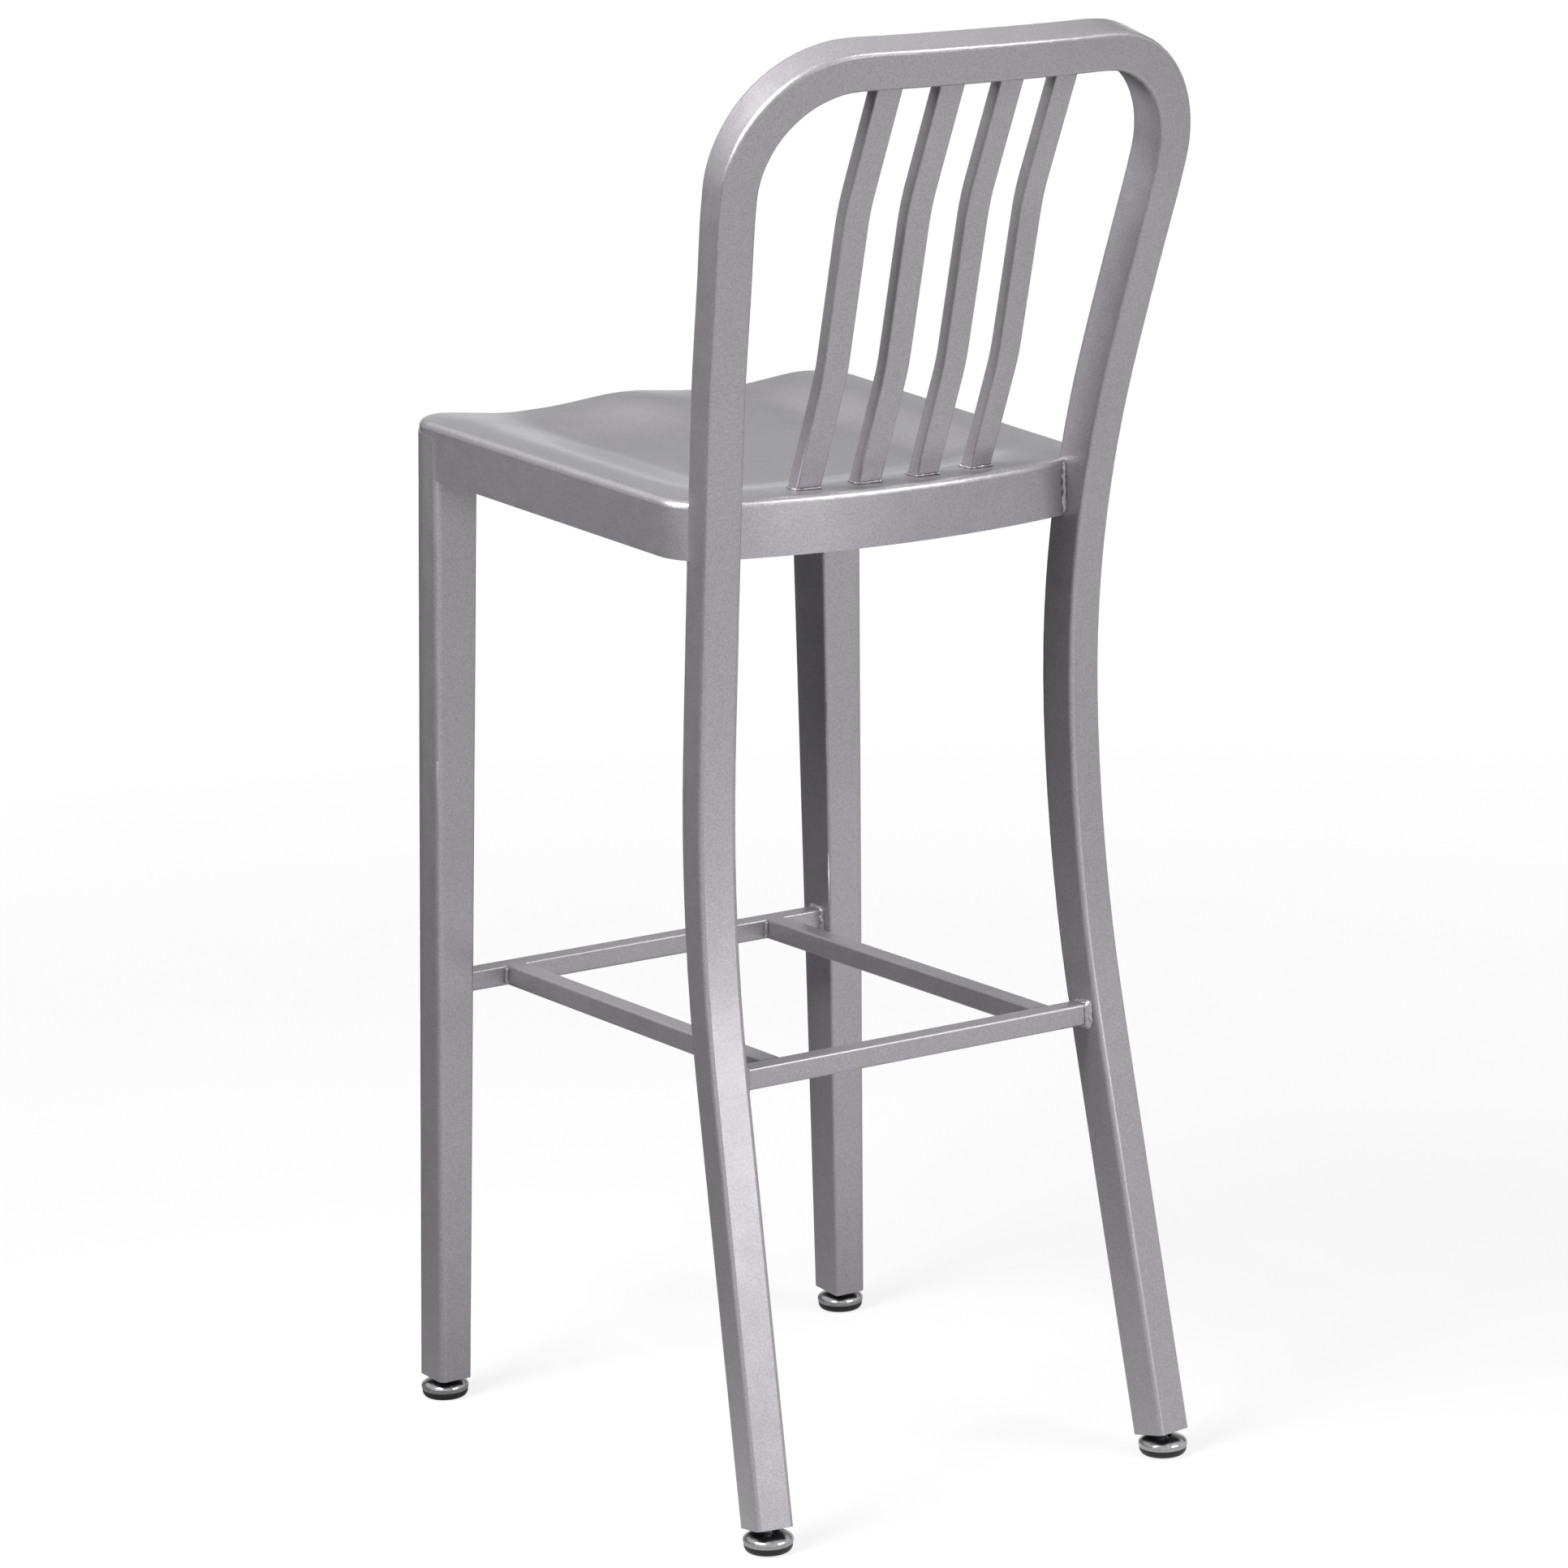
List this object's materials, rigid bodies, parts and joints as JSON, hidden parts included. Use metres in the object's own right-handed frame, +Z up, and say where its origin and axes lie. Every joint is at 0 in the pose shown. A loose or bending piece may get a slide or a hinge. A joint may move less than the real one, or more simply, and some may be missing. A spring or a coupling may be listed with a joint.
{
  "type": "bar stool",
  "caption": "Tall silver metal bar stool with a bent-tube arched back, curved back slats, a dished pan seat, a footrest ring and levelling glides.",
  "frame": {"origin": "on the floor, at the bottom centre of the stool's bounding box", "axes": "+Z up, -Y the way the sitter faces, +Y the back, +X the sitter's left"},
  "size_m": [0.4048, 0.5332, 1.0688],
  "materials": {
    "frame_metal": "satin",
    "weld_metal": "satin",
    "plug_plastic": "matte",
    "sleeve_steel": "zinc plated",
    "stud_steel": "zinc plated",
    "glide_chrome": "polished",
    "glide_plastic": "matte"
  },
  "bodies": {
    "frame": {"back_frame": "frame_metal", "seat_pan": "frame_metal", "slat_1": "frame_metal", "slat_2": "frame_metal", "slat_3": "frame_metal", "slat_4": "frame_metal", "front_leg_left": "frame_metal", "front_leg_right": "frame_metal", "stretcher_left": "frame_metal", "stretcher_right": "frame_metal", "stretcher_front": "frame_metal", "stretcher_rear": "frame_metal", "weld_stretcher_legs": "weld_metal", "weld_stretcher_corners": "weld_metal", "weld_slat_feet": "weld_metal", "weld_slat_heads": "weld_metal", "weld_seat_rear": "weld_metal", "weld_seat_front": "weld_metal", "plug_front_left": "plug_plastic", "plug_front_right": "plug_plastic", "plug_rear_left": "plug_plastic", "plug_rear_right": "plug_plastic", "sleeve_front_left": "sleeve_steel", "sleeve_front_right": "sleeve_steel", "sleeve_rear_left": "sleeve_steel", "sleeve_rear_right": "sleeve_steel"},
    "stud_front_left": {"stud_front_left": "stud_steel"},
    "foot_front_left": {"glide_cap_front_left": "glide_chrome", "glide_base_front_left": "glide_plastic"},
    "stud_front_right": {"stud_front_right": "stud_steel"},
    "foot_front_right": {"glide_cap_front_right": "glide_chrome", "glide_base_front_right": "glide_plastic"},
    "stud_rear_left": {"stud_rear_left": "stud_steel"},
    "foot_rear_left": {"glide_cap_rear_left": "glide_chrome", "glide_base_rear_left": "glide_plastic"},
    "stud_rear_right": {"stud_rear_right": "stud_steel"},
    "foot_rear_right": {"glide_cap_rear_right": "glide_chrome", "glide_base_rear_right": "glide_plastic"}
  },
  "joints": [
    {"name": "level_front_left", "type": "slide", "parent": "frame", "child": "stud_front_left", "axis": [0.0165, -0.0347, -0.9993], "range_m": [0, 0.008]},
    {"name": "tilt_front_left", "type": "hinge", "parent": "stud_front_left", "child": "foot_front_left", "pos_m": [0.18423, -0.24842, 0.008], "axis": [1, 0, 0], "range_deg": [-16, 13]},
    {"name": "level_front_right", "type": "slide", "parent": "frame", "child": "stud_front_right", "axis": [-0.0165, -0.0347, -0.9993], "range_m": [0, 0.008]},
    {"name": "tilt_front_right", "type": "hinge", "parent": "stud_front_right", "child": "foot_front_right", "pos_m": [-0.18423, -0.24842, 0.008], "axis": [1, 0, 0], "range_deg": [-16, 13]},
    {"name": "level_rear_left", "type": "slide", "parent": "frame", "child": "stud_rear_left", "axis": [0.0322, 0.1863, -0.982], "range_m": [0, 0.008]},
    {"name": "tilt_rear_left", "type": "hinge", "parent": "stud_rear_left", "child": "foot_rear_left", "pos_m": [0.17528, 0.19739, 0.008], "axis": [1, 0, 0], "range_deg": [-4, 25]},
    {"name": "level_rear_right", "type": "slide", "parent": "frame", "child": "stud_rear_right", "axis": [-0.0322, 0.1863, -0.982], "range_m": [0, 0.008]},
    {"name": "tilt_rear_right", "type": "hinge", "parent": "stud_rear_right", "child": "foot_rear_right", "pos_m": [-0.17528, 0.19739, 0.008], "axis": [1, 0, 0], "range_deg": [-4, 25]}
  ]
}
